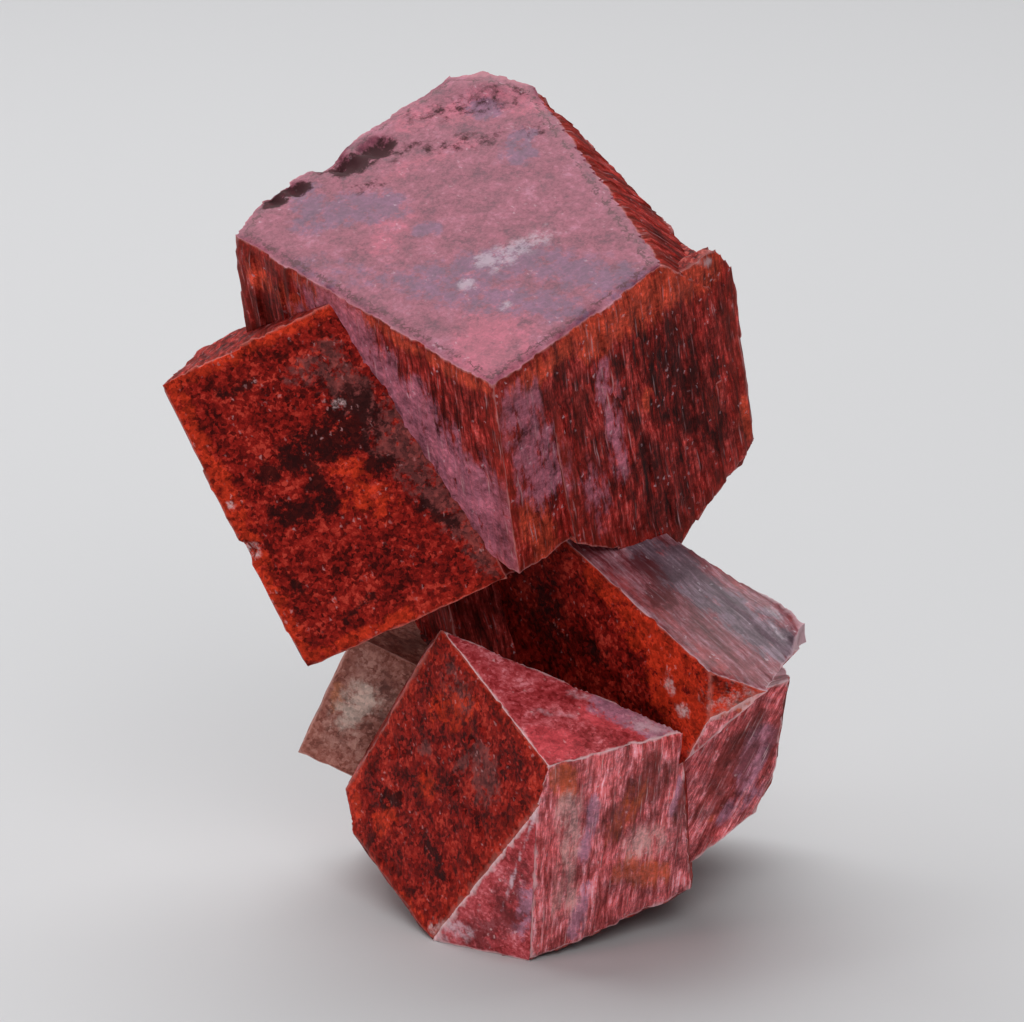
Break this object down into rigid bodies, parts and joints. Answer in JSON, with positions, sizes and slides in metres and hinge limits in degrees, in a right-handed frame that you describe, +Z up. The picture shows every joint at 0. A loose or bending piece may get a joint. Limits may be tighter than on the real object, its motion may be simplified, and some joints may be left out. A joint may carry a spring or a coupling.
{
  "type": "apophyllite crystal cluster",
  "caption": "Cluster of blocky red apophyllite crystals grown through one another, resting on a flat broken foot, with a wide smooth top face and ribbed sides.",
  "frame": {"origin": "centre of the bounding box's bottom face, on the flat surface that the cluster stands on", "axes": "+Z up along the cluster's height, +X to its right and +Y to its back, seen from the side with the wide top face and the ribbed front edge"},
  "size_m": [0.032, 0.029, 0.0418],
  "materials": {
    "crystal_red": "satin, vitreous to pearly, coloured through by iron oxide"
  },
  "bodies": {
    "root": {"crystal_cluster": "crystal_red"}
  },
  "joints": []
}
